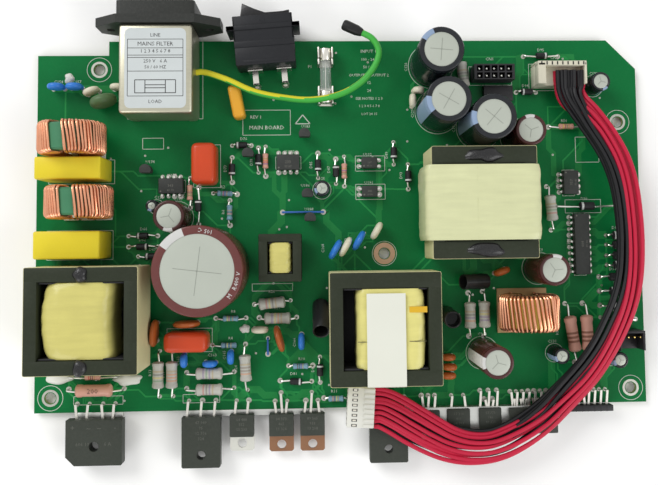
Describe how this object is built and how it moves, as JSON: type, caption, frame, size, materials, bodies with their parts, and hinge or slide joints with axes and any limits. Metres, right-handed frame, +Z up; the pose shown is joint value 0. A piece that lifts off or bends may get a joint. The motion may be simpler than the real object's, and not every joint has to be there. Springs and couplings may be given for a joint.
{
  "type": "open frame power supply",
  "caption": "Open frame switch-mode power supply: green circuit board with filtered mains inlet, rocker switch, wound parts, capacitors, edge-mounted power devices and a wire harness.",
  "frame": {"origin": "midway between the two front mounting holes, on the board's underside", "axes": "+X along the front edge towards the side header, +Y towards the inlet and switch edge, +Z up from the component side"},
  "size_m": [0.254, 0.1889, 0.0343],
  "materials": {
    "board": "satin solder mask",
    "solder_side": "bright tinned",
    "inlet_can": "plated, printed plate",
    "inlet_flange": "satin",
    "inlet_blades": "plated",
    "switch_housing": "satin",
    "switch_rocker": "gloss",
    "switch_terminals": "tinned",
    "fuse_metal": "tinned",
    "fuse_tube": "clear",
    "choke_cores": "coated",
    "choke_windings": "enamelled copper",
    "choke_bases": "matte",
    "toroid_core": "coated",
    "toroid_winding": "enamelled copper",
    "toroid_base_plate": "paper laminate",
    "ferrite_cores": "sintered",
    "boost_winding": "tape",
    "bobbin_feet": "matte",
    "main_winding": "tape",
    "mid_winding": "tape",
    "paper_strip": "matte",
    "small_winding": "tape",
    "bulk_capacitor": "shrink sleeve",
    "black_capacitors": "shrink sleeve",
    "brown_capacitors": "shrink sleeve",
    "capacitor_ends": "plain",
    "x_capacitors": "moulded",
    "film_capacitors": "dipped",
    "yellow_film_capacitor": "dipped",
    "blue_disc_capacitors": "dipped",
    "cream_disc_capacitors": "dipped",
    "brown_disc_capacitors": "dipped",
    "inrush_thermistor": "dipped",
    "grey_resistors": "lacquer",
    "pink_resistors": "lacquer",
    "blue_resistors": "lacquer",
    "diode_bodies": "moulded",
    "axial_lead_wires": "tinned copper",
    "moulded_packages": "moulded",
    "package_pins": "tinned",
    "bridge_rectifier": "moulded",
    "power_packages": "moulded",
    "power_tabs": "plated copper",
    "power_leads": "tinned copper",
    "edge_rail": "rolled",
    "header_bodies": "moulded",
    "header_pins": "plated",
    "output_connector": "moulded",
    "heat_shrink_sleeves": "shrink tube",
    "harness_red": "insulation",
    "harness_black": "insulation",
    "harness_plug": "moulded",
    "earth_wire": "green and yellow insulation",
    "earth_terminal": "sleeve",
    "glue_beads_white": "silicone",
    "glue_beads_black": "sealant",
    "wire_links": "sleeved wire"
  },
  "bodies": {
    "chassis": {"board": "board", "solder_side": "solder_side", "inlet_can": "inlet_can", "inlet_flange": "inlet_flange", "inlet_blades": "inlet_blades", "switch_housing": "switch_housing", "switch_terminals": "switch_terminals", "fuse_metal": "fuse_metal", "fuse_tube": "fuse_tube", "choke_cores": "choke_cores", "choke_windings": "choke_windings", "choke_bases": "choke_bases", "toroid_core": "toroid_core", "toroid_winding": "toroid_winding", "toroid_base_plate": "toroid_base_plate", "ferrite_cores": "ferrite_cores", "boost_winding": "boost_winding", "bobbin_feet": "bobbin_feet", "main_winding": "main_winding", "mid_winding": "mid_winding", "paper_strip": "paper_strip", "small_winding": "small_winding", "bulk_capacitor": "bulk_capacitor", "black_capacitors": "black_capacitors", "brown_capacitors": "brown_capacitors", "capacitor_ends": "capacitor_ends", "x_capacitors": "x_capacitors", "film_capacitors": "film_capacitors", "yellow_film_capacitor": "yellow_film_capacitor", "blue_disc_capacitors": "blue_disc_capacitors", "cream_disc_capacitors": "cream_disc_capacitors", "brown_disc_capacitors": "brown_disc_capacitors", "inrush_thermistor": "inrush_thermistor", "grey_resistors": "grey_resistors", "pink_resistors": "pink_resistors", "blue_resistors": "blue_resistors", "diode_bodies": "diode_bodies", "axial_lead_wires": "axial_lead_wires", "moulded_packages": "moulded_packages", "package_pins": "package_pins", "bridge_rectifier": "bridge_rectifier", "power_packages": "power_packages", "power_tabs": "power_tabs", "power_leads": "power_leads", "edge_rail": "edge_rail", "header_bodies": "header_bodies", "header_pins": "header_pins", "output_connector": "output_connector", "heat_shrink_sleeves": "heat_shrink_sleeves", "harness_red": "harness_red", "harness_black": "harness_black", "harness_plug": "harness_plug", "earth_wire": "earth_wire", "earth_terminal": "earth_terminal", "glue_beads_white": "glue_beads_white", "glue_beads_black": "glue_beads_black", "wire_links": "wire_links"},
    "rocker": {"switch_rocker": "switch_rocker"}
  },
  "joints": [
    {"name": "rocker_tilt", "type": "hinge", "parent": "chassis", "child": "rocker", "pos_m": [-0.03208, 0.1512, 0.00865], "axis": [0, 0, 1], "range_deg": [0, 24]}
  ]
}
